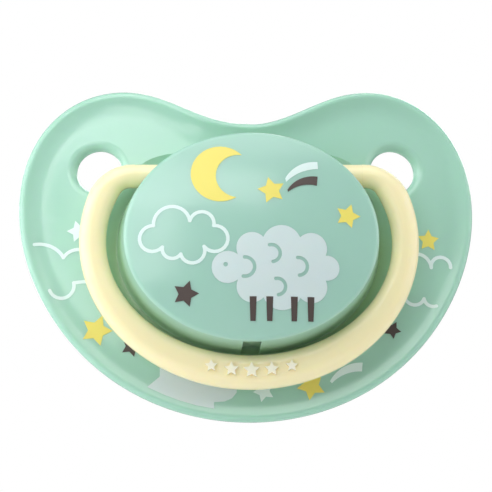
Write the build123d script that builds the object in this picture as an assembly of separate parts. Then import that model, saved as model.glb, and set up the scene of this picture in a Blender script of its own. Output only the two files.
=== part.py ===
from build123d import *
import math
import os

# Pacifier, in millimetres. X is across the mouth, +Y points into the mouth, +Z is up to the nose.
# The origin is on the teat's axis, where the back of the shield would cross it.

# Shield: a bean-shaped plate, bowed away from the face, with a turned-out rim
shield_half_width = 26.1
shield_top = 19.0
shield_bottom = -19.9
nose_notch = 14.75
shield_wall = 2.0
rim_wall = 1.5
bow_radius_x = 66.0
bow_radius_z = 78.0
lip_height = 1.25
lip_width = 3.6
shield_sections = 36

# Two round vents, drilled straight through
vent_x = 16.8
vent_z = 9.65
vent_radius = 2.55
vent_front_round = 0.95
vent_back_round = 0.6

# Button cap: an oval cup over the middle of the shield
cap_half_width = 15.1
cap_half_height = 12.55
cap_centre_z = 0.3
cap_draft = 0.55
cap_foot_y = -0.1
cap_edge_y = -7.1
cap_crown_y = -9.4
cap_edge_round = 0.6
cap_wall = 1.4
notch_width = 2.1
notch_top_y = -6.45
notch_depth = 0.9

# Handle ring and its axle line
axle_y = -2.5
axle_z = 8.25
axle_radius = 1.35
axle_clearance = 0.06
axle_end_x = 7.2
ring_centre_z = 0.46
ring_half_width = 19.45
ring_bottom = -16.6
ring_side_band = 3.1
ring_bottom_band = 3.95
ring_thickness = 2.8
ring_edge_round = 1.3
elbow_start_x = 13.0
star_size = 0.95
star_waist = 0.5
star_height = 0.28
star_root = 0.6
star_taper = 0.12
star_pitch = 2.3
elbow_outer_radius = 5.7
elbow_inner_radius = 1.3
lug_inner_x = 7.6
lug_half_height = 2.5
scoop_x = 9.5
scoop_z = 9.2
scoop_floor_y = 0.15
scoop_round_x = 16.0
scoop_round_z = 3.6
seat_pad_x = 8.7
seat_pad_length = 2.2
seat_pad_front_y = -1.13

# Teat: hollow silicone bulb on a neck, with a flange behind the cap
teat_ratio = 0.85
teat_length = 28.5
teat_neck_radius = 5.6
neck_end_y = 2.5
teat_waist_radius = 4.9
teat_bulb_radius = 7.6
teat_wall = 1.3
flange_radius = 8.6
flange_thickness = 1.1

# Hub in the shield for the flange, and the plug that clamps it
hub_radius = 9.9
hub_front_y = -3.0
flange_seat_y = -1.8
plug_disc_thickness = 1.1
plug_depth = 2.4
plug_stem_wall = 1.3
plug_stem_floor = 1.5
clamp_outer_radius = 7.4
clamp_inner_radius = 6.2
clamp_top_y = -8.2
clamp_bite = 0.1
small_gap = 0.05
cut_length = 20


def shield_outline():
    """Closed outline of the shield, from the nose notch round past the chin and back."""
    right = [
        (5.0, 0, 15.8),
        (9.4, 0, 17.85),
        (14.6, 0, shield_top),
        (20.2, 0, 17.4),
        (24.1, 0, 13.3),
        (shield_half_width, 0, 5.0),
        (23.9, 0, -4.6),
        (17.1, 0, -13.7),
        (9.2, 0, -18.3),
    ]
    left = [(-x, y, z) for x, y, z in reversed(right)]
    return Spline((0, 0, nose_notch), *right, (0, 0, shield_bottom), *left, periodic=True)


def shield_section(edge_point, edge_tangent):
    """Cross-section of the shield's wall in the plane of the teat's axis and one outline point."""
    reach = math.hypot(edge_point.X, edge_point.Z)
    out = Vector(edge_point.X / reach, 0, edge_point.Z / reach)
    squareness = abs(edge_tangent.X * out.Z - edge_tangent.Z * out.X)
    bow = out.X**2 / (2 * bow_radius_x) + out.Z**2 / (2 * bow_radius_z)

    def front(r):
        into_lip = max(0.0, 1 - (reach - r) * squareness / lip_width)
        return r * r * bow - shield_wall - lip_height * into_lip**2

    def slope(r):
        into_lip = max(0.0, 1 - (reach - r) * squareness / lip_width)
        return 2 * r * bow - 2 * lip_height * into_lip * squareness / lip_width

    def wall(r):
        return shield_wall + (rim_wall - shield_wall) * r / reach

    def place(r, y):
        return out * r + Vector(0, y, 0)

    inner = 4.0
    outer = reach - rim_wall / 2 / squareness
    lip_start = reach - lip_width / squareness
    stops = [inner, (inner + lip_start) / 2, lip_start]
    stops += [lip_start + (outer - lip_start) * step / 3 for step in (1, 2, 3)]
    start_run = out + Vector(0, slope(inner), 0)
    end_run = out + Vector(0, slope(outer), 0)
    front_edge = Spline(*[place(r, front(r)) for r in stops], tangents=[start_run, end_run])
    back_points = [place(r, front(r) + wall(r)) for r in reversed(stops)]
    back_edge = Spline(*back_points, tangents=[end_run * -1, start_run * -1])
    tip = place(reach, front(outer) + wall(outer) / 2 + slope(outer) * rim_wall / 2)
    rim_edge = Spline(front_edge @ 1, tip, back_edge @ 0, tangents=[end_run, (0, 1, 0), end_run * -1])
    inner_edge = Line(back_edge @ 1, front_edge @ 0)
    return Face(Wire([front_edge, rim_edge, back_edge, inner_edge]))


def shield_shell():
    """The bowed plate with its lip and vents, lofted right round through sections like spokes."""
    outline = shield_outline()
    stations = [step / shield_sections for step in range(shield_sections)]
    spokes = [shield_section(outline @ t, outline % t).outer_wire() for t in stations]
    plate = Part() + Solid.make_loft(spokes + spokes[:1])
    for side in (-1, 1):
        plate -= Pos(side * vent_x, 0, vent_z) * Rot(90, 0, 0) * Cylinder(vent_radius, cut_length)
    plate = fillet(vent_mouths(plate, front=True), vent_front_round)
    return fillet(vent_mouths(plate, front=False), vent_back_round)


def oval_bar(half_width, ratio, y_from, y_to):
    """A straight oval bar along Y."""
    face = Plane.XZ * Ellipse(half_width, half_width * ratio)
    return Pos(0, y_from, 0) * extrude(face, y_from - y_to)


def axle_bar(radius, x_from, x_to):
    """A round bar on the handle's axle line, on both sides of the shield."""
    length = x_to - x_from
    one = Pos((x_from + x_to) / 2, axle_y, axle_z) * Rot(0, 90, 0) * Cylinder(radius, length)
    return one + mirror(one, about=Plane.YZ)


def shield_blank():
    """Shield with its hub, before the holes and pockets."""
    shell = shield_shell()
    hub = oval_bar(hub_radius, teat_ratio, hub_front_y, -0.4)
    return shell + hub


def make_shield(blank):
    teat_hole = oval_bar(teat_neck_radius + small_gap, teat_ratio, -10, 5)
    flange_seat = oval_bar(flange_radius + small_gap, teat_ratio, -10, flange_seat_y)
    body = blank - teat_hole - flange_seat
    cap_foot = Pos(0, 0, cap_centre_z) * oval_bar(cap_half_width, cap_half_height / cap_half_width, -10, 10)
    for side in (-1, 1):
        body -= finger_scoop(side) - cap_foot
        body += Pos(side * seat_pad_x, 0, axle_z) * seat_pad()
    return body - axle_bar(axle_radius + axle_clearance, axle_end_x - 1, cap_half_width)


def finger_scoop(side):
    """Shallow oval hollow in the plate, over and behind the end of the handle's arm."""
    centre_y = scoop_floor_y - scoop_round_x
    ball = Torus(scoop_round_x - scoop_round_z, scoop_round_z)
    return Pos(side * scoop_x, centre_y, scoop_z) * ball


def seat_pad():
    """Low pad inside the cap that the handle's axle lies on."""
    depth = -0.6 - seat_pad_front_y
    return Pos(0, seat_pad_front_y + depth / 2, 0) * Box(seat_pad_length, depth, 2 * axle_radius)


def vent_mouths(plate, front):
    """The rims of both vents, on the front or on the back of the plate."""
    mouths = []
    for side in (-1, 1):
        rims = [edge for edge in plate.edges() if is_vent_rim(edge, side)]
        rims.sort(key=lambda edge: edge.center().Y)
        mouths.append(rims[0] if front else rims[-1])
    return mouths


def is_vent_rim(edge, side):
    middle = edge.center()
    off_axis = math.hypot(middle.X - side * vent_x, middle.Z - vent_z)
    return off_axis < vent_radius and edge.length > vent_radius * 5


def cap_cup(inset):
    """The cap's oval cup as a solid; inset gives the space inside it."""
    ratio = (cap_half_height - inset) / (cap_half_width - inset)
    foot = cap_half_width - inset
    edge = foot - cap_draft
    edge_y = cap_edge_y + inset
    crown_y = cap_crown_y + inset
    profile = make_face(
        [
            Line((0, cap_foot_y), (foot, cap_foot_y)),
            Line((foot, cap_foot_y), (edge, edge_y)),
            Spline((edge, edge_y), (0, crown_y), tangents=[(-1, -0.28), (-1, 0)]),
            Line((0, crown_y), (0, cap_foot_y)),
        ]
    )
    cup = revolve(profile, Axis.Y)
    rim = cup.edges().filter_by(GeomType.CIRCLE).sort_by(Axis.Y)[0]
    cup = fillet(rim, cap_edge_round)
    return Pos(0, 0, cap_centre_z) * scale(cup, by=(1, 1, ratio))


def edge_notch():
    """Block that cuts the blind notch at the bottom of the cap's side."""
    return Box(notch_width, cut_length, 2 * notch_depth)


def make_cap(blank):
    outer = cap_cup(0)
    lugs = Part()
    for side in (-1, 1):
        lugs += Pos(side * (lug_inner_x + 5), axle_y, axle_z) * Box(10, 5.0, 2 * lug_half_height)
    body = outer - cap_cup(cap_wall) + (outer & lugs)
    bore = axle_radius + axle_clearance
    body -= axle_bar(bore, 5, 20)
    for side in (-1, 1):
        body -= Pos(side * 12, axle_y + 5, axle_z) * Box(14, 10, 2 * bore)
    body -= Pos(0, notch_top_y + cut_length / 2, cap_centre_z - cap_half_height) * edge_notch()
    clamp_foot_y = hub_front_y - plug_disc_thickness + clamp_bite
    clamp_rib = oval_bar(clamp_outer_radius, teat_ratio, clamp_top_y, clamp_foot_y)
    clamp_rib -= oval_bar(clamp_inner_radius, teat_ratio, -cut_length, 0)
    body += clamp_rib & outer
    return body - blank


def ring_outline():
    """Flat outline of the ring, from one elbow round the bottom to the other."""
    outer_drop = ring_centre_z - ring_bottom
    inner_half_width = ring_half_width - ring_side_band
    inner_drop = outer_drop - ring_bottom_band
    band = Ellipse(ring_half_width, outer_drop) - Ellipse(inner_half_width, inner_drop)
    top = axle_z + axle_radius
    band = Pos(0, ring_centre_z) * band - Pos(0, top + 20) * Rectangle(60, 40)
    arm_reach = ring_half_width - ring_side_band - elbow_start_x
    for side in (-1, 1):
        arm = Rectangle(arm_reach, 2 * axle_radius)
        band += Pos(side * (elbow_start_x + arm_reach / 2), axle_z) * arm
    band -= Pos(0, axle_z) * Rectangle(2 * elbow_start_x, 2 * axle_radius + 2)
    return band


def round_elbows(band):
    """Round the outer corner and the inner corner of both elbows."""
    top = axle_z + axle_radius
    outer = [v for v in band.vertices() if abs(v.Y - top) < 0.01 and abs(v.X) > elbow_start_x + 1]
    band = fillet(outer, elbow_outer_radius)
    low = axle_z - axle_radius
    inner = [v for v in band.vertices() if abs(v.Y - low) < 0.01 and abs(v.X) > elbow_start_x + 0.3]
    return fillet(inner, elbow_inner_radius)


def star(size):
    """Flat five-pointed star; size is its outer radius."""
    corners = []
    for i in range(10):
        radius = size if i % 2 == 0 else size * star_waist
        angle = math.radians(90 + 36 * i)
        corners.append((radius * math.cos(angle), radius * math.sin(angle)))
    return make_face(Polyline(*corners, close=True))


def star_row():
    """Raised stars along the bottom of the ring, large in the middle."""
    row = Part()
    middle_z = ring_bottom + ring_bottom_band / 2
    swing = ring_half_width - ring_side_band / 2
    for step in range(-2, 3):
        x = step * star_pitch
        z = ring_centre_z - (ring_centre_z - middle_z) * math.sqrt(1 - (x / swing) ** 2)
        size = star_size * (1 - star_taper * abs(step))
        flat = Plane.XZ * (Pos(x, z) * star(size))
        row += Pos(0, axle_y - ring_thickness / 2 + star_root, 0) * extrude(flat, star_root + star_height)
    return row


def make_ring():
    outline = round_elbows(ring_outline())
    body = extrude(Plane.XZ * outline, ring_thickness / 2, both=True)
    rims = body.faces().filter_by(Axis.Y).edges()
    rims = [edge for edge in rims if abs(edge.center().X) > elbow_start_x + 0.01 or edge.center().Z < 0]
    body = fillet(rims, ring_edge_round)
    body = Pos(0, axle_y, 0) * body
    body += axle_bar(axle_radius, axle_end_x, elbow_start_x + 1)
    return body + star_row()


def teat_profile(radius_change, end_y):
    """Half profile of the teat, or of the space inside it."""
    waist = teat_waist_radius - radius_change
    bulb = teat_bulb_radius - radius_change
    neck = teat_neck_radius - radius_change
    return Spline(
        (neck, neck_end_y),
        (waist, 8.0),
        (bulb, 19.5),
        (0, end_y),
        tangents=[(-0.15, 1), (0, 1), (0, 1), (-1, 0)],
    )


def make_teat():
    neck = teat_neck_radius
    flange_front = flange_seat_y - flange_thickness
    outer = make_face(
        [
            teat_profile(0, teat_length),
            Line((0, teat_length), (0, flange_front)),
            Line((0, flange_front), (flange_radius, flange_front)),
            Line((flange_radius, flange_front), (flange_radius, flange_seat_y)),
            Line((flange_radius, flange_seat_y), (neck, flange_seat_y)),
            Line((neck, flange_seat_y), (neck, neck_end_y)),
        ]
    )
    inner_neck = neck - teat_wall
    hollow_end = teat_length - teat_wall
    inner = make_face(
        [
            teat_profile(teat_wall, hollow_end),
            Line((0, hollow_end), (0, flange_front)),
            Line((0, flange_front), (inner_neck, flange_front)),
            Line((inner_neck, flange_front), (inner_neck, neck_end_y)),
        ]
    )
    body = revolve(outer, Axis.Y) - revolve(inner, Axis.Y)
    return scale(body, by=(1, 1, teat_ratio))


def make_teat_plug():
    disc_back = flange_seat_y - flange_thickness
    disc_front = disc_back - plug_disc_thickness
    stem = teat_neck_radius - teat_wall - small_gap
    body = oval_bar(flange_radius, teat_ratio, disc_front, disc_back)
    body += oval_bar(stem, teat_ratio, disc_back, plug_depth)
    body -= oval_bar(stem - plug_stem_wall, teat_ratio, disc_front, plug_depth - plug_stem_floor)
    return body


def build():
    blank = shield_blank()
    return {
        "shield": make_shield(blank),
        "cap": make_cap(blank),
        "ring_handle": make_ring(),
        "teat": make_teat(),
        "teat_plug": make_teat_plug(),
    }


os.makedirs("parts", exist_ok=True)
for name, solid in build().items():
    solid.label = name
    export_step(solid, f"parts/{name}.step")
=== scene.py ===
import math

import bpy
from mathutils import Matrix, Vector


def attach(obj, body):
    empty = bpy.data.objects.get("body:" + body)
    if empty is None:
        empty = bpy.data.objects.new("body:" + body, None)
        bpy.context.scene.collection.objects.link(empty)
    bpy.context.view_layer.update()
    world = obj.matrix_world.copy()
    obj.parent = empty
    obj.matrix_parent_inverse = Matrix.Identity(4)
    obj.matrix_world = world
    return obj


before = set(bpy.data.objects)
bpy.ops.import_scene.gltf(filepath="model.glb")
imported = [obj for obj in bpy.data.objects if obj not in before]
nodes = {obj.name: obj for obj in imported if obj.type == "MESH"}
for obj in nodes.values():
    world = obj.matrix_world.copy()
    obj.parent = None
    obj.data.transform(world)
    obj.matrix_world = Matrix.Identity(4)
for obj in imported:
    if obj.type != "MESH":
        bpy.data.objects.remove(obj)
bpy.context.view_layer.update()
mm = 0.001
print("frame loaded:", sorted(nodes))


# small helpers

def clearSelection():
    if bpy.context.object and bpy.context.object.mode != "OBJECT":
        bpy.ops.object.mode_set(mode="OBJECT")
    bpy.ops.object.select_all(action="DESELECT")


def makeActive(piece):
    clearSelection()
    piece.select_set(True)
    bpy.context.view_layer.objects.active = piece


def applyModifier(piece, kind, **settings):
    makeActive(piece)
    modifier = piece.modifiers.new(kind.lower(), kind)
    for key, value in settings.items():
        setattr(modifier, key, value)
    bpy.ops.object.modifier_apply(modifier=modifier.name)


def dropPiece(piece):
    bpy.data.objects.remove(piece, do_unlink=True)


# shader maths: a wrapped socket that adds its own Math nodes

class Sock:
    def __init__(self, shader, socket):
        self.shader = shader
        self.socket = socket

    def math(self, operation, first, second):
        return self.shader.node("ShaderNodeMath", {"operation": operation}, {0: first, 1: second})

    def __add__(self, other):
        return self.math("ADD", self, other)

    def __radd__(self, other):
        return self.math("ADD", other, self)

    def __sub__(self, other):
        return self.math("SUBTRACT", self, other)

    def __rsub__(self, other):
        return self.math("SUBTRACT", other, self)

    def __mul__(self, other):
        return self.math("MULTIPLY", self, other)

    def __rmul__(self, other):
        return self.math("MULTIPLY", other, self)

    def __truediv__(self, other):
        return self.math("DIVIDE", self, other)

    def __rtruediv__(self, other):
        return self.math("DIVIDE", other, self)


class Shader:
    def __init__(self, name):
        self.material = bpy.data.materials.new(name)
        self.material.use_nodes = True
        self.tree = self.material.node_tree
        self.bsdf = self.tree.nodes["Principled BSDF"]
        self.objectCoords = self.node("ShaderNodeTexCoord", {}, {}, "Object")

    def node(self, kind, settings, inputs, output=0):
        made = self.tree.nodes.new(kind)
        for key, value in settings.items():
            setattr(made, key, value)
        for key, value in inputs.items():
            self.feed(made.inputs[key], value)
        return Sock(self, made.outputs[output])

    def feed(self, target, value):
        if isinstance(value, Sock):
            self.tree.links.new(value.socket, target)
        else:
            target.default_value = value

    def noise(self, scale, detail=2.0, roughness=0.5):
        inputs = {"Vector": self.objectCoords, "Scale": scale, "Detail": detail, "Roughness": roughness}
        return self.node("ShaderNodeTexNoise", {}, inputs)

    def mixColour(self, factor, first, second):
        inputs = {0: factor, 6: (*first, 1) if isinstance(first, tuple) else first}
        inputs[7] = (*second, 1) if isinstance(second, tuple) else second
        return self.node("ShaderNodeMix", {"data_type": "RGBA"}, inputs, 2)

    def bump(self, height, distance, strength):
        return self.node("ShaderNodeBump", {}, {"Height": height, "Distance": distance, "Strength": strength})

    def axis(self, index):
        return self.node("ShaderNodeSeparateXYZ", {}, {0: self.objectCoords}, index)

    def ramp(self, value, start, end):
        return self.node("ShaderNodeMapRange", {}, {"Value": value, "From Min": start, "From Max": end})

    def set(self, **values):
        for key, value in values.items():
            self.feed(self.bsdf.inputs[key.replace("_", " ")], value)


# moulded plastic: a clean satin skin with faint flow tone, a fine grain, soft depth and, on some pieces, painted
# shade and highlights

plastics = {
    "shieldPlastic": {
        "tone": (0.393, 0.665, 0.548), "deep": (0.362, 0.632, 0.512),
        "rough": 0.17, "glow": (0.8, 1.0, 0.7), "depth": 1.4 * mm,
    },
    "capPlastic": {
        "tone": (0.372, 0.622, 0.530), "deep": (0.348, 0.596, 0.500),
        "rough": 0.19, "glow": (0.8, 1.0, 0.7), "depth": 1.4 * mm,
    },
    "ringPlastic": {
        "tone": (0.99, 0.875, 0.57), "deep": (0.985, 0.855, 0.53),
        "rough": 0.20, "glow": (1.0, 0.78, 0.35), "depth": 1.8 * mm,
    },
    "plugPlastic": {
        "tone": (0.86, 0.86, 0.82), "deep": (0.83, 0.83, 0.79),
        "rough": 0.32, "glow": (1.0, 1.0, 0.9), "depth": 1.0 * mm,
    },
}

skinDetail = {
    "flow": 60,             # slow tone drift of the melt
    "polish": 140,          # where the mould is polished a little more
    "grain": 5200,          # spark-eroded mould grain, 0.2 mm apart
    "grainDepth": 0.0012 * mm,
    "softness": 0.4,
    "index": 1.5,
}


def mouldedPlastic(name):
    look = plastics[name]
    s = Shader(name)
    flow = s.noise(skinDetail["flow"])
    polish = s.noise(skinDetail["polish"], 2.0, 0.4)
    grain = s.noise(skinDetail["grain"])
    tone = s.mixColour(flow, look["tone"], look["deep"])
    # painted shade and highlights laid over the base tone for the shield, cap and ring
    if name in paintedLightByPiece:
        tone = paintedLightByPiece[name](s, tone)
    s.set(Base_Color=tone)
    s.set(Roughness=polish * 0.05 + (look["rough"] - 0.04) + grain * 0.03)
    s.set(Normal=s.bump(grain, skinDetail["grainDepth"], 0.4))
    s.set(Subsurface_Weight=skinDetail["softness"], Subsurface_Radius=look["glow"])
    s.set(Subsurface_Scale=look["depth"], IOR=skinDetail["index"])
    return s.material


# painted light on the ring's raised stars: the wall colour is painted shade, the top colour a painted highlight
starShadeAndHighlight = {
    "foot": -3.90 * mm, "from": -3.96 * mm, "to": -4.12 * mm,
    "wall": (0.86, 0.66, 0.27), "top": (1.0, 0.95, 0.77),
}
# painted shade round the foot of the cap, with a painted yellow bounce from the ring
ditchPaintedShade = {
    "halfWidth": 15.1 * mm, "halfHeight": 12.55 * mm, "centreZ": 0.3 * mm,
    "inner": 1.0, "outer": 1.4, "hub": (0.75, 0.95), "top": 8 * mm, "bowAcross": 0.132, "bowUp": 0.156,
    "front": (-0.8 * mm, -1.4 * mm), "amount": 0.75, "tone": (0.34, 0.53, 0.24),
}
# painted shade down the cap's side, darker towards the ditch
capSideShade = {"span": (-6.9 * mm, -3.5 * mm), "amount": 0.6, "tone": (0.36, 0.56, 0.32)}


def starPaintedLight(s, tone):
    # painted light on the raised stars: a painted shade, deeper yellow, on their walls and a painted highlight,
    # paler, on top
    climb = s.ramp(s.axis(1), starShadeAndHighlight["from"], starShadeAndHighlight["to"])
    onStar = s.ramp(s.axis(1), starShadeAndHighlight["foot"], starShadeAndHighlight["from"])
    return s.mixColour(onStar, tone, s.mixColour(climb, starShadeAndHighlight["wall"], starShadeAndHighlight["top"]))


def shieldPaintedShade(s, tone):
    # painted shade in the narrow ditch round the foot of the cap, on the front of the bowed plate, tinted olive by
    # painted yellow bounce light from the ring
    x, y, z = (s.axis(i) for i in range(3))
    across = x / ditchPaintedShade["halfWidth"]
    up = (z - ditchPaintedShade["centreZ"]) / ditchPaintedShade["halfHeight"]
    reach = across * across + up * up
    near = s.ramp(reach, ditchPaintedShade["outer"], ditchPaintedShade["inner"]) * s.ramp(z, ditchPaintedShade["top"], 0)
    unbowed = y - x * x / ditchPaintedShade["bowAcross"] - z * z / ditchPaintedShade["bowUp"]
    near = near * s.ramp(unbowed, *ditchPaintedShade["front"]) * s.ramp(reach, *ditchPaintedShade["hub"])
    return s.mixColour(near * ditchPaintedShade["amount"], tone, ditchPaintedShade["tone"])


def capPaintedShade(s, tone):
    # painted shade, darker and olive, down the cap's side towards the ditch
    return s.mixColour(s.ramp(s.axis(1), *capSideShade["span"]) * capSideShade["amount"], tone, capSideShade["tone"])


# painted light: shade on the shield and cap, shade and a highlight on the ring's stars
paintedLightByPiece = {"ringPlastic": starPaintedLight, "shieldPlastic": shieldPaintedShade, "capPlastic": capPaintedShade}


# the teat: clear silicone with a matt bloom

silicone = {
    "tone": (0.90, 0.88, 0.82), "cloudy": (0.86, 0.83, 0.75), "rough": 0.24, "bloomDepth": 0.01 * mm,
    "clear": 0.55, "softness": 0.4, "depth": 2 * mm, "index": 1.41,
}


def clearSilicone():
    s = Shader("teatSilicone")
    haze = s.noise(180, 3.0)
    bloom = s.noise(900, 3.0, 0.6)
    s.set(Base_Color=s.mixColour(haze, silicone["tone"], silicone["cloudy"]))
    s.set(Roughness=bloom * 0.16 + silicone["rough"])
    s.set(Normal=s.bump(bloom, silicone["bloomDepth"], 0.4))
    s.set(Transmission_Weight=silicone["clear"], Subsurface_Weight=silicone["softness"])
    s.set(Subsurface_Scale=silicone["depth"], IOR=silicone["index"])
    return s.material


# pad-printed inks, a little thin and speckled

inks = {
    "yellowInk": {"tone": (0.86, 0.73, 0.13), "thin": (0.82, 0.71, 0.17), "rough": 0.42},
    "brownInk": {"tone": (0.066, 0.048, 0.044), "thin": (0.080, 0.060, 0.054), "rough": 0.45},
    "whiteInk": {"tone": (0.75, 0.88, 0.86), "thin": (0.69, 0.84, 0.80), "rough": 0.42},
    "paleInk": {"tone": (0.64, 0.735, 0.75), "thin": (0.58, 0.71, 0.70), "rough": 0.48},
}


def printedInk(name):
    look = inks[name]
    s = Shader(name)
    cover = s.noise(9000, 2.0, 0.7)     # pinholes and speckle of a pad-printed film
    cloudy = s.noise(500, 2.0)
    mottle = cover * 0.6 + cloudy * 0.4
    s.set(Base_Color=s.mixColour(mottle, look["tone"], look["thin"]))
    s.set(Roughness=cover * 0.12 + (look["rough"] - 0.06))
    s.set(Normal=s.bump(cover, 0.002 * mm, 0.5))
    s.set(Subsurface_Weight=0.1, Subsurface_Scale=0.3 * mm)
    return s.material


def dressNode(name, material):
    for slot in nodes[name].material_slots:
        slot.material = material


dressNode("shield", mouldedPlastic("shieldPlastic"))
dressNode("cap", mouldedPlastic("capPlastic"))
dressNode("ring_handle", mouldedPlastic("ringPlastic"))
dressNode("teat_plug", mouldedPlastic("plugPlastic"))
dressNode("teat", clearSilicone())
print("plastics and silicone done")


# prints: flat shapes are drawn facing the front, pushed through a thin skin of the
# moulding's own surface, and what both share is left as a film of ink

skins = {
    "rise": 0.035 * mm,
    "sink": 0.02 * mm,
    "upperRise": 0.05 * mm,
    "arcSteps": 14,
    "lineWidth": 0.40 * mm,
    "starWaist": 0.52,
    "dotSides": 24,
    "dotTurn": 0.13,
    "weld": 1e-7,
    "sharp": math.radians(40),
}

# facing: steepest face that takes ink; start and depth: the front and the length of the pushed shapes
pads = {
    "cap": {"facing": -0.2, "start": -11 * mm, "depth": 6 * mm, "rim": -6.4},
    "shield": {
        "facing": -0.3, "start": -5 * mm, "depth": 9 * mm, "lip": -2.4,
        "hole": (15.2, 12.65), "holeUp": 0.3,
    },
}

capPrints = {
    "yellowInk": {
        "stars": [(2.23, 5.23, 1.62, 103), (10.94, 2.43, 1.46, 72)],
        "bands": [
            [
                ((-1.05, 9.50), (-6.91, 7.38), (-1.79, 4.39)),
                ((-1.05, 9.50), (-4.05, 7.28), (-1.79, 4.39)),
            ],
        ],
    },
    "brownInk": {
        "stars": [(-7.63, -6.60, 1.52, 72)],
        "bands": [
            [
                ((4.03, 5.28), (5.59, 6.68), (7.55, 6.99)),
                ((4.13, 5.06), (5.89, 5.93), (7.44, 5.89)),
            ],
        ],
        "wedges": [[(x - 0.4, -7.0), (x + 0.4, -7.0), (x + 0.3, -9.7), (x - 0.3, -9.7)] for x in (0, 1.9, 4.7, 6.6)],
    },
    "whiteInk": {
        "bands": [
            [
                ((3.83, 6.68), (5.40, 8.28), (7.58, 8.79)),
                ((3.93, 6.25), (5.60, 7.45), (7.63, 7.93)),
            ],
        ],
        "loops": [
            [
                (-11.20, 1.31), (-9.47, 3.44), (-7.10, 1.72), (-5.72, 2.72), (-4.40, 1.06),
                (-2.83, -0.21), (-5.52, -1.33), (-6.83, -3.17), (-8.16, -2.12), (-9.27, -2.56),
                (-10.23, -1.23), (-12.77, -0.41),
            ]
        ],
    },
    "paleInk": {
        "fills": [
            [
                (8.3, -2.3), (8.0, -0.3), (5.4, -0.3), (3.3, 1.1), (1.2, -0.3), (-1.4, -0.3),
                (-1.7, -2.3), (-4.7, -3.7), (-1.7, -5.1), (-1.4, -7.1), (1.2, -7.1), (3.3, -8.5),
                (5.4, -7.1), (8.0, -7.1), (8.3, -5.1), (9.9, -3.7),
            ]
        ],
        "cutStrokes": [
            [(-0.95, -2.60), (0.10, -4.10), (-1.10, -4.75)],
            [(1.90, -1.20), (3.10, -2.10), (2.30, -3.10)],
            [(5.10, -2.60), (6.20, -3.60), (5.30, -4.60)],
            [(2.60, -5.00), (3.70, -5.90), (2.90, -6.80)],
        ],
        "cutDots": [(-3.1, -3.4, 0.26)],
    },
}

shieldPrints = {
    "yellowInk": {
        "stars": [(-17.41, -9.07, 1.84, 68), (7.05, -15.72, 1.68, 46), (20.85, 1.57, 1.30, 88)],
    },
    "brownInk": {
        "stars": [(-13.45, -11.03, 1.24, 68), (16.50, -9.05, 1.04, 62)],
    },
    "whiteInk": {
        "stars": [(-19.40, 2.57, 1.30, 104), (1.60, -16.37, 1.25, 40)],
        "bands": [
            [
                ((9.20, -15.14), (10.80, -13.49), (13.00, -12.93)),
                ((9.43, -15.35), (11.04, -14.27), (12.90, -13.95)),
            ],
        ],
        "strokes": [
            [(-24.38, 1.23), (-22.60, 1.00), (-21.10, -0.42), (-20.35, 0.22), (-18.60, 0.22)],
            [(-22.70, -4.27), (-21.06, -5.16), (-19.95, -3.45), (-19.10, -3.38), (-17.90, -3.42)],
            [(19.20, -0.10), (20.60, -0.52), (21.15, -1.58), (22.15, -0.32), (23.42, -1.50)],
            [(17.90, -4.70), (18.95, -6.05), (20.25, -5.29), (20.75, -6.02), (21.65, -6.12)],
        ],
    },
    "paleInk": {
        "wedges": [
            [
                (-10.26, -12.60), (-10.24, -14.56), (-11.71, -15.77), (-9.90, -16.65), (-8.00, -17.40),
                (-6.10, -17.98), (-4.10, -18.38), (-4.11, -17.60), (-2.90, -17.52), (-2.05, -17.15),
                (-1.50, -16.50), (-1.40, -14.40),
            ]
        ],
    },
}


def arcThrough(first, via, last, steps):
    (ax, az), (bx, bz), (cx, cz) = first, via, last
    d = 2 * (ax * (bz - cz) + bx * (cz - az) + cx * (az - bz))
    if abs(d) < 1e-6:
        return [(ax + (cx - ax) * i / steps, az + (cz - az) * i / steps) for i in range(steps)]
    a2, b2, c2 = ax * ax + az * az, bx * bx + bz * bz, cx * cx + cz * cz
    ox = (a2 * (bz - cz) + b2 * (cz - az) + c2 * (az - bz)) / d
    oz = (a2 * (cx - bx) + b2 * (ax - cx) + c2 * (bx - ax)) / d
    radius = math.hypot(ax - ox, az - oz)
    start, middle, end = (math.atan2(z - oz, x - ox) for x, z in (first, via, last))
    full = 2 * math.pi
    sweep = (end - start) % full
    if (middle - start) % full > sweep:
        sweep -= full
    turns = [start + sweep * i / steps for i in range(steps)]
    return [(ox + radius * math.cos(t), oz + radius * math.sin(t)) for t in turns]


def arcChain(points):
    ends = points + points[:1]
    chain = []
    for i in range(0, len(ends) - 2, 2):
        chain += arcThrough(ends[i], ends[i + 1], ends[i + 2], skins["arcSteps"])
    return chain


def starCorners(x, z, size, lean):
    corners = []
    for i in range(10):
        reach = size if i % 2 == 0 else size * skins["starWaist"]
        angle = math.radians(lean + 36 * i)
        corners.append((x + reach * math.cos(angle), z + reach * math.sin(angle)))
    return corners


def dotOutline(x, z, size):
    sides = skins["dotSides"]
    turns = [skins["dotTurn"] + math.tau * i / sides for i in range(sides)]
    return [(x + size * math.cos(turn), z + size * math.sin(turn)) for turn in turns]


def raisePrism(name, depth):
    piece = bpy.context.object
    piece.name = name
    bpy.ops.object.mode_set(mode="EDIT")
    bpy.ops.mesh.select_all(action="SELECT")
    bpy.ops.mesh.extrude_region_move(TRANSFORM_OT_translate={"value": (0, depth, 0)})
    bpy.ops.mesh.select_all(action="SELECT")
    bpy.ops.mesh.normals_make_consistent(inside=False)
    bpy.ops.object.mode_set(mode="OBJECT")
    return piece


def fillPrism(name, outline, faceY, depth):
    clearSelection()
    bpy.ops.mesh.primitive_circle_add(vertices=len(outline), radius=mm, fill_type="NGON")
    for vertex, (x, z) in zip(bpy.context.object.data.vertices, outline):
        vertex.co = (x * mm, faceY, z * mm)
    return raisePrism(name, depth)


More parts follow.
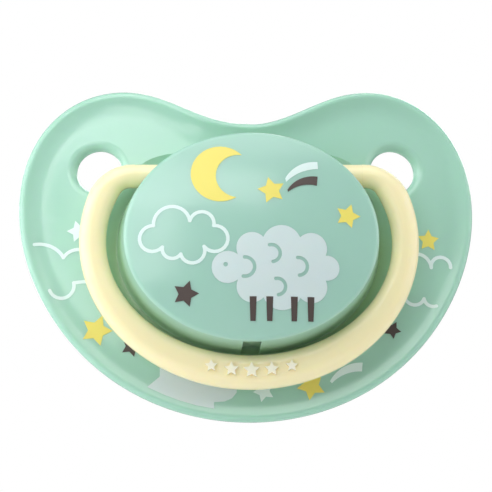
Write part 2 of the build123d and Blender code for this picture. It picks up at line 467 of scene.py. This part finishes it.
def bandPrism(name, upper, lower, faceY, depth):
    clearSelection()
    count = len(upper)
    bpy.ops.mesh.primitive_grid_add(x_subdivisions=count - 1, y_subdivisions=1, size=mm)
    vertices = bpy.context.object.data.vertices
    for i in range(count):
        for row, side in enumerate((lower, upper)):
            x, z = side[i]
            vertices[row * count + i].co = (x * mm, faceY, z * mm)
    return raisePrism(name, depth)


def fuse(pieces):
    base = pieces[0]
    for other in pieces[1:]:
        applyModifier(base, "BOOLEAN", operation="UNION", object=other, solver="EXACT")
        dropPiece(other)
    return base


def besideLine(line, gap):
    side = []
    for j, (x, z) in enumerate(line):
        before, after = line[max(j - 1, 0)], line[min(j + 1, len(line) - 1)]
        dx, dz = after[0] - before[0], after[1] - before[1]
        length = math.hypot(dx, dz)
        side.append((x - dz / length * gap, z + dx / length * gap))
    return side


def strokePrisms(name, points, closed, faceY, depth):
    half = skins["lineWidth"] / mm / 2
    ends = points + points[:1] if closed else points
    made = []
    for i in range(0, len(ends) - 2, 2):
        line = arcThrough(ends[i], ends[i + 1], ends[i + 2], skins["arcSteps"]) + [ends[i + 2]]
        made.append(bandPrism(name, besideLine(line, half), besideLine(line, -half), faceY, depth))
    for x, z in ends[::2]:      # round joints, a little wider than the line
        made.append(fillPrism(name, dotOutline(x, z, half * 1.05), faceY, depth))
    return made


def drawShapes(name, shapes, faceY, depth):
    made = []
    for x, z, size, lean in shapes.get("stars", []):
        made.append(fillPrism(name, starCorners(x, z, size, lean), faceY, depth))
    for outline in shapes.get("wedges", []):
        made.append(fillPrism(name, outline, faceY, depth))
    for chain in shapes.get("fills", []):
        made.append(fillPrism(name, arcChain(chain), faceY, depth))
    for upper, lower in shapes.get("bands", []):
        steps = 2 * skins["arcSteps"]
        edges = [arcThrough(*side, steps) + [side[2]] for side in (upper, lower)]
        made.append(bandPrism(name, *edges, faceY, depth))
    for chain in shapes.get("loops", []):
        made.append(fuse(strokePrisms(name, chain, True, faceY, depth)))
    for chain in shapes.get("strokes", []):
        made.append(fuse(strokePrisms(name, chain, False, faceY, depth)))
    return made


def joinAll(pieces):
    makeActive(pieces[0])
    for piece in pieces:
        piece.select_set(True)
    bpy.ops.object.join()
    joined = bpy.context.object
    bpy.ops.object.mode_set(mode="EDIT")
    bpy.ops.mesh.select_all(action="SELECT")
    bpy.ops.mesh.remove_doubles(threshold=skins["weld"])
    bpy.ops.mesh.normals_make_consistent(inside=False)
    bpy.ops.object.mode_set(mode="OBJECT")
    return joined


def frontSkin(nodeName, lowestFacing, keepFace, rise):
    clearSelection()
    skin = nodes[nodeName].copy()
    skin.data = nodes[nodeName].data.copy()
    for key in list(skin.keys()):
        del skin[key]
    skin.parent = None
    skin.name = nodeName + "Skin"
    bpy.context.scene.collection.objects.link(skin)
    skin.data.materials.clear()
    makeActive(skin)
    bpy.ops.object.mode_set(mode="EDIT")
    bpy.ops.mesh.select_all(action="SELECT")
    bpy.ops.mesh.remove_doubles(threshold=skins["weld"])
    bpy.ops.mesh.customdata_custom_splitnormals_clear()
    bpy.ops.mesh.select_mode(type="FACE")
    bpy.ops.mesh.select_all(action="DESELECT")
    bpy.ops.object.mode_set(mode="OBJECT")
    for face in skin.data.polygons:
        face.select = not (face.normal.y < lowestFacing and keepFace(face.center / mm))
    bpy.ops.object.mode_set(mode="EDIT")
    bpy.ops.mesh.delete(type="FACE")
    bpy.ops.object.mode_set(mode="OBJECT")
    thickness = rise + skins["sink"]
    applyModifier(skin, "SOLIDIFY", thickness=thickness, offset=2 * rise / thickness - 1, use_rim=True)
    return skin


def printInk(pieceName, inkName, shapes, skin, faceY, depth):
    ink = joinAll(drawShapes(pieceName, shapes, faceY, depth))
    ink.name = pieceName
    applyModifier(ink, "BOOLEAN", operation="INTERSECT", object=skin, solver="EXACT")
    cutters = []
    for chain in shapes.get("cutStrokes", []):
        cutters.append(fuse(strokePrisms("cut", chain, False, faceY, depth)))
    cutters += [fillPrism("cut", dotOutline(*dot), faceY, depth) for dot in shapes.get("cutDots", [])]
    if cutters:
        cutter = joinAll(cutters)
        applyModifier(ink, "BOOLEAN", operation="DIFFERENCE", object=cutter, solver="EXACT")
        dropPiece(cutter)
    makeActive(ink)
    bpy.ops.object.shade_smooth_by_angle(angle=skins["sharp"])
    ink.data.materials.clear()
    ink.data.materials.append(inkMaterials[inkName])
    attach(ink, "pacifier")
    return ink


def outsideCap(spot):
    pad = pads["shield"]
    across, up = pad["hole"]
    return math.hypot(spot.x / across, (spot.z - pad["holeUp"]) / up) > 1 and spot.y > pad["lip"]


def onCapFace(spot):
    return spot.y < pads["cap"]["rim"]


def printMoulding(nodeName, prints, keepFace):
    pad = pads[nodeName]
    lowSkin = frontSkin(nodeName, pad["facing"], keepFace, skins["rise"])
    highSkin = frontSkin(nodeName, pad["facing"], keepFace, skins["upperRise"])
    for inkName, shapes in prints.items():
        skin = highSkin if inkName == "brownInk" else lowSkin
        ink = printInk(nodeName + "_" + inkName, inkName, shapes, skin, pad["start"], pad["depth"])
        print("printed", ink.name, len(ink.data.polygons), "faces")
    dropPiece(lowSkin)
    dropPiece(highSkin)


inkMaterials = {name: printedInk(name) for name in inks}
printMoulding("cap", capPrints, onCapFace)
printMoulding("shield", shieldPrints, outsideCap)
print("prints done")


# studio: pale floor well below, big soft boxes, long lens from just under the middle

studio = {
    "azimuth": -3.5,
    "elevation": -12.0,
    "roll": -0.72,
    "distance": 0.9,
    "frameWidth": 56.357 * mm,
    "aimAcross": -0.22 * mm,
    "aimUp": 0.63 * mm,
    "sensor": 36,
    "floorSize": 6,
    "floorDrop": 0.22,
    "floorPale": 0.82,
    "sky": 1.0,
    "ambient": 0.03,
    "room": 0.22,
}

# name: azimuth and elevation in degrees, distance, width and height in metres, power in watts
softBoxes = {
    "leftBox": (-62, 18, 0.55, 0.35, 0.5, 1.72),
    "rightBox": (60, 14, 0.6, 0.3, 0.5, 0.72),
    "topBox": (0, 62, 0.6, 0.6, 0.35, 1.85),
    "farLeftBox": (-95, 5, 0.55, 0.14, 0.6, 1.3),
    "farRightBox": (95, 5, 0.55, 0.14, 0.6, 0.9),
    "leftStrip": (-25, 11, 0.6, 0.12, 0.36, 0.42),
    "lowLeftStrip": (-60, -35, 0.6, 0.12, 0.3, 0.35),
    "browStrip": (-10, 33, 0.6, 0.4, 0.16, 0.72),
    "backBox": (150, 35, 0.7, 0.5, 0.5, 2.4),
    "backFill": (-150, 10, 0.8, 0.5, 0.5, 1.4),
}


def lookDirection(azimuth, elevation):
    a, e = math.radians(azimuth), math.radians(elevation)
    return Vector((math.sin(a) * math.cos(e), -math.cos(a) * math.cos(e), math.sin(e)))


def addCamera():
    toCamera = lookDirection(studio["azimuth"], studio["elevation"])
    turn = (-toCamera).to_track_quat("-Z", "Y").to_matrix()
    turn = turn @ Matrix.Rotation(math.radians(studio["roll"]), 3, "Z")
    aim = turn @ Vector((studio["aimAcross"], studio["aimUp"], 0))
    bpy.ops.object.camera_add(location=aim + toCamera * studio["distance"], rotation=turn.to_euler())
    camera = bpy.context.object
    camera.data.sensor_width = studio["sensor"]
    camera.data.lens = studio["sensor"] * studio["distance"] / studio["frameWidth"]
    camera.data.clip_start = 0.01
    bpy.context.scene.camera = camera


def addSoftBox(name, azimuth, elevation, distance, width, height, power):
    away = lookDirection(azimuth, elevation)
    turn = away.to_track_quat("Z", "Y").to_euler()
    bpy.ops.object.light_add(type="AREA", location=away * distance, rotation=turn)
    light = bpy.context.object
    light.name = name
    light.data.shape = "RECTANGLE"
    light.data.size = width
    light.data.size_y = height
    light.data.energy = power


def paleGlow(tree, kind, strength):
    glow = tree.nodes.new(kind)
    glow.inputs["Color"].default_value = (1, 1, 1, 1)
    glow.inputs["Strength"].default_value = strength
    return glow.outputs[0]


def pickByRay(tree, ray, plain, seen):
    path = tree.nodes.new("ShaderNodeLightPath")
    pick = tree.nodes.new("ShaderNodeMixShader")
    tree.links.new(path.outputs[ray], pick.inputs[0])
    tree.links.new(plain, pick.inputs[1])
    tree.links.new(seen, pick.inputs[2])
    return pick.outputs[0]


def addSky():
    world = bpy.data.worlds.new("studioAir")
    world.use_nodes = True
    bpy.context.scene.world = world
    tree = world.node_tree
    glows = [paleGlow(tree, "ShaderNodeBackground", studio[key]) for key in ("ambient", "room", "sky")]
    shine = pickByRay(tree, "Is Glossy Ray", glows[0], glows[1])
    seen = pickByRay(tree, "Is Camera Ray", shine, glows[2])
    tree.links.new(seen, tree.nodes["World Output"].inputs["Surface"])


def addFloor():
    clearSelection()
    bpy.ops.mesh.primitive_plane_add(size=studio["floorSize"], location=(0, 0, -studio["floorDrop"]))
    floor = bpy.context.object
    floor.name = "floor"
    s = Shader("palePaper")
    s.set(Base_Color=s.mixColour(s.noise(3), (0.86, 0.86, 0.85), (0.84, 0.84, 0.83)), Roughness=0.8)
    lit = paleGlow(s.tree, "ShaderNodeEmission", studio["floorPale"])
    seen = pickByRay(s.tree, "Is Camera Ray", s.bsdf.outputs[0], lit)
    s.tree.links.new(seen, s.tree.nodes["Material Output"].inputs["Surface"])
    floor.data.materials.append(s.material)


addCamera()
for name, values in softBoxes.items():
    addSoftBox(name, *values)
addSky()
addFloor()
bpy.context.scene.view_settings.view_transform = "Standard"
print("studio done")
